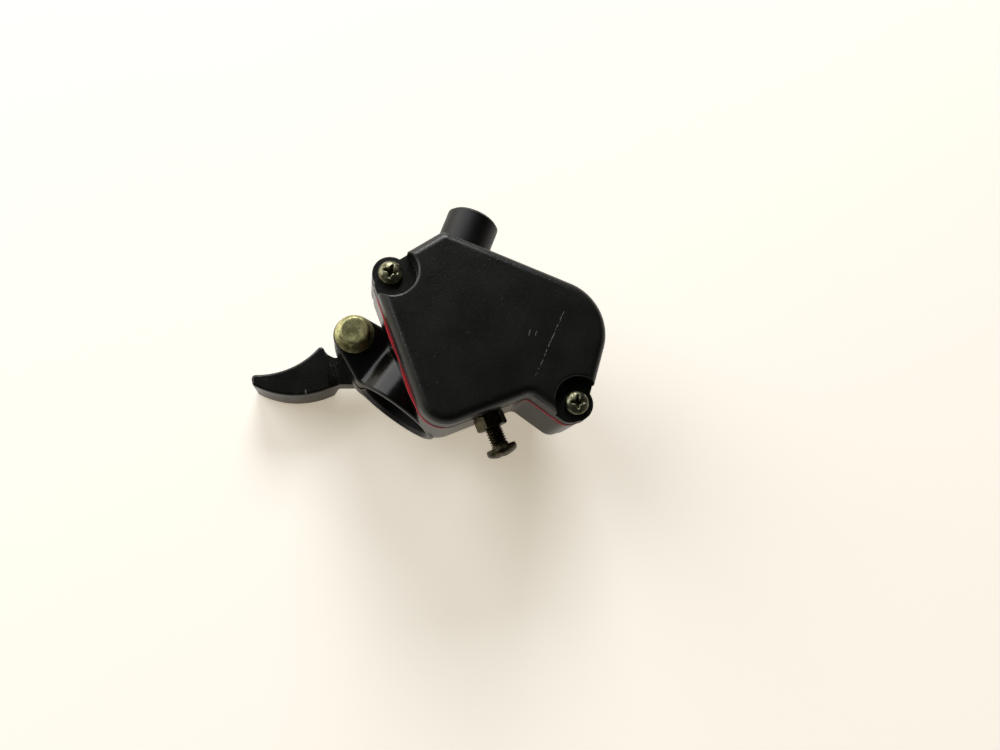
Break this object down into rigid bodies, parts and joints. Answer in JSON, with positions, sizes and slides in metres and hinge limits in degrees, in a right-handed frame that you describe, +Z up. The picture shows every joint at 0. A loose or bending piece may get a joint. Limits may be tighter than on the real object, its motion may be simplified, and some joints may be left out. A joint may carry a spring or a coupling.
{
  "type": "thumb throttle lever",
  "caption": "Thumb throttle for a handlebar: painted housing with a split clamp ring, domed cover on a red gasket, hooked thumb lever on a vertical spindle, cable boss and limiter screw",
  "frame": {"origin": "the middle of the clamp bore, on the handlebar's axis", "axes": "+X along the handlebar towards the grip, +Y forward away from the rider, +Z up through the cover"},
  "size_m": [0.0772, 0.0889, 0.057],
  "materials": {
    "housing_paint": "black paint over a die casting, glossy on the clamp, satin on the flanks",
    "cover_paint": "satin black paint with a faint warm tone",
    "lever_paint": "satin black paint",
    "gasket_red": "dull red gasket sheet",
    "dark_zinc": "dark olive zinc plating, semi-gloss",
    "bolt_zinc": "olive-gold zinc plating, semi-gloss",
    "limiter_steel": "blackened steel",
    "plain_steel": "bright steel",
    "spring_steel": "oiled spring steel",
    "bush_bronze": "sintered bronze",
    "seal_rubber": "black rubber",
    "white_plastic": "natural nylon"
  },
  "bodies": {
    "housing": {"housing_body": "housing_paint", "top_cover": "cover_paint", "cover_gasket": "gasket_red", "cover_screw_rear": "dark_zinc", "cover_screw_front": "dark_zinc", "limiter_lock_nut": "limiter_steel", "clamp_bolt": "bolt_zinc", "lower_bush": "bush_bronze", "upper_bush": "bush_bronze", "spindle_seal": "seal_rubber", "return_spring": "spring_steel"},
    "lever": {"thumb_lever": "lever_paint", "lever_spindle": "plain_steel", "thrust_washer": "plain_steel", "throttle_arm": "plain_steel", "arm_washer": "white_plastic", "tab_washer": "plain_steel", "arm_nut": "plain_steel", "spring_collar": "white_plastic"},
    "limiter": {"limiter_screw": "limiter_steel"}
  },
  "joints": [
    {"name": "lever_pivot", "type": "hinge", "parent": "housing", "child": "lever", "pos_m": [-0.0322, 0.0238, 0], "axis": [0, 0, 1], "range_deg": [0, 31], "stiffness_Nm_per_rad": 0.6, "springref_deg": -34.38, "deforming": ["return_spring"]},
    {"name": "limiter_travel", "type": "slide", "parent": "housing", "child": "limiter", "axis": [0.5402, 0.8415, 0], "range_m": [0, 0.006]}
  ]
}
